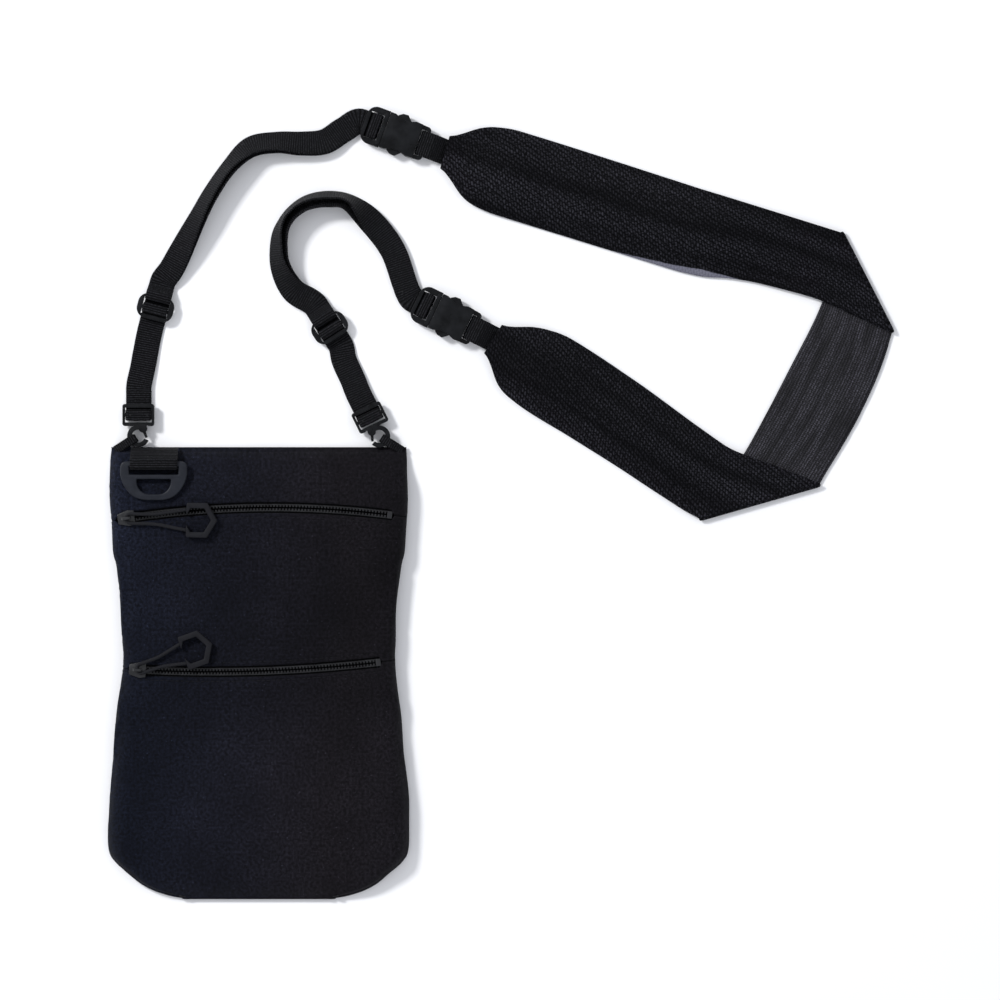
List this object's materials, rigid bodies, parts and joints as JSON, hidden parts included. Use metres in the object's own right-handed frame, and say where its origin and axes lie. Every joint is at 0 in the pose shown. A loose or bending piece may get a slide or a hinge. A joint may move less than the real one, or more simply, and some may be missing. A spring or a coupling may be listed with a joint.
{
  "type": "vertical pouch",
  "caption": "Flat vertical zip pouch with a D-ring tab, and a shoulder strap of wide and narrow webbing on snap hooks, with oval sliders and side-release buckles.",
  "frame": {"origin": "middle of the pouch's back, on the surface it lies on", "axes": "+X to the right of the pouch, +Y to its top edge and the strap, +Z out of its front"},
  "size_m": [0.4716, 0.4743, 0.0203],
  "materials": {
    "shell_fabric": "matte, fine plain weave",
    "lining_fabric": "matte",
    "zip_tape": "matte",
    "zip_teeth": "satin",
    "zip_metal": "satin black",
    "pull_cord": "braided",
    "soft_plastic": "soft satin",
    "narrow_webbing": "matte, ribbed",
    "wide_webbing": "matte, twill",
    "hard_plastic": "satin"
  },
  "bodies": {
    "pouch": {"back_panel": "shell_fabric", "d_ring_tab": "narrow_webbing", "front_lower_panel": "shell_fabric", "front_middle_panel": "shell_fabric", "front_top_strip": "shell_fabric", "left_buckle_plug": "hard_plastic", "left_buckle_socket": "hard_plastic", "left_corner_loop": "narrow_webbing", "left_end_tab": "narrow_webbing", "left_hook": "hard_plastic", "left_strap_slider": "hard_plastic", "left_webbing": "narrow_webbing", "lower_zip_end_stop": "zip_teeth", "lower_zip_lower_tape": "zip_tape", "lower_zip_lower_teeth": "zip_teeth", "lower_zip_upper_tape": "zip_tape", "lower_zip_upper_teeth": "zip_teeth", "pocket_divider": "lining_fabric", "right_buckle_plug": "hard_plastic", "right_buckle_socket": "hard_plastic", "right_corner_loop": "narrow_webbing", "right_end_tab": "narrow_webbing", "right_hook": "hard_plastic", "right_strap_slider": "hard_plastic", "right_webbing": "narrow_webbing", "upper_zip_end_stop": "zip_teeth", "upper_zip_lower_tape": "zip_tape", "upper_zip_lower_teeth": "zip_teeth", "upper_zip_upper_tape": "zip_tape", "upper_zip_upper_teeth": "zip_teeth", "wide_strap": "wide_webbing"},
    "d_ring": {"d_ring": "hard_plastic"},
    "upper_slider": {"upper_zip_slider": "zip_metal"},
    "upper_pull": {"upper_pull_cord": "pull_cord", "upper_pull_grip": "soft_plastic"},
    "lower_slider": {"lower_zip_slider": "zip_metal"},
    "lower_pull": {"lower_pull_cord": "pull_cord", "lower_pull_grip": "soft_plastic"},
    "left_gate": {"left_hook_gate": "hard_plastic"},
    "left_buckle_left_prong": {"left_buckle_left_prong": "hard_plastic"},
    "left_buckle_right_prong": {"left_buckle_right_prong": "hard_plastic"},
    "right_gate": {"right_hook_gate": "hard_plastic"},
    "right_buckle_left_prong": {"right_buckle_left_prong": "hard_plastic"},
    "right_buckle_right_prong": {"right_buckle_right_prong": "hard_plastic"}
  },
  "joints": [
    {"name": "d_ring_swing", "type": "hinge", "parent": "pouch", "child": "d_ring", "pos_m": [-0.062, 0.1253, 0.01642], "axis": [-1, 0, 0], "range_deg": [0, 120]},
    {"name": "upper_zip_run", "type": "hinge", "parent": "pouch", "child": "upper_slider", "pos_m": [0.00777, -0.48143, 0.015], "axis": [0, 0, -1], "range_deg": [0, 15.14]},
    {"name": "upper_pull_swing", "type": "hinge", "parent": "upper_slider", "child": "upper_pull", "pos_m": [-0.0785, 0.09281, 0.01775], "axis": [-0.0254, -0.9997, 0], "range_deg": [0, 165]},
    {"name": "lower_zip_run", "type": "hinge", "parent": "pouch", "child": "lower_slider", "pos_m": [-0.0261, 0.85701, 0.015], "axis": [0, 0, 1], "range_deg": [0, 9.35]},
    {"name": "lower_pull_swing", "type": "hinge", "parent": "lower_slider", "child": "lower_pull", "pos_m": [-0.07177, 0.00242, 0.01775], "axis": [0.3328, -0.943, 0], "range_deg": [0, 165]},
    {"name": "left_gate_swing", "type": "hinge", "parent": "pouch", "child": "left_gate", "pos_m": [-0.06922, 0.14655, 0.0048], "axis": [0, 0, -1], "range_deg": [0, 18], "stiffness_Nm_per_rad": 0.02, "springref_deg": -5.73},
    {"name": "left_buckle_left_squeeze", "type": "hinge", "parent": "pouch", "child": "left_buckle_left_prong", "pos_m": [0.07319, 0.32076, 0.0047], "axis": [0, 0, 1], "range_deg": [0, 14], "stiffness_Nm_per_rad": 0.15, "springref_deg": -1.72},
    {"name": "left_buckle_right_squeeze", "type": "hinge", "parent": "pouch", "child": "left_buckle_right_prong", "pos_m": [0.07689, 0.33091, 0.0047], "axis": [0, 0, -1], "range_deg": [0, 14], "stiffness_Nm_per_rad": 0.15, "springref_deg": -1.72},
    {"name": "right_gate_swing", "type": "hinge", "parent": "pouch", "child": "right_gate", "pos_m": [0.06777, 0.14466, 0.0048], "axis": [0, 0, 1], "range_deg": [0, 18], "stiffness_Nm_per_rad": 0.02, "springref_deg": -5.73},
    {"name": "right_buckle_left_squeeze", "type": "hinge", "parent": "pouch", "child": "right_buckle_left_prong", "pos_m": [0.10304, 0.21266, 0.0047], "axis": [0, 0, 1], "range_deg": [0, 14], "stiffness_Nm_per_rad": 0.15, "springref_deg": -1.72},
    {"name": "right_buckle_right_squeeze", "type": "hinge", "parent": "pouch", "child": "right_buckle_right_prong", "pos_m": [0.10778, 0.22237, 0.0047], "axis": [0, 0, -1], "range_deg": [0, 14], "stiffness_Nm_per_rad": 0.15, "springref_deg": -1.72}
  ]
}
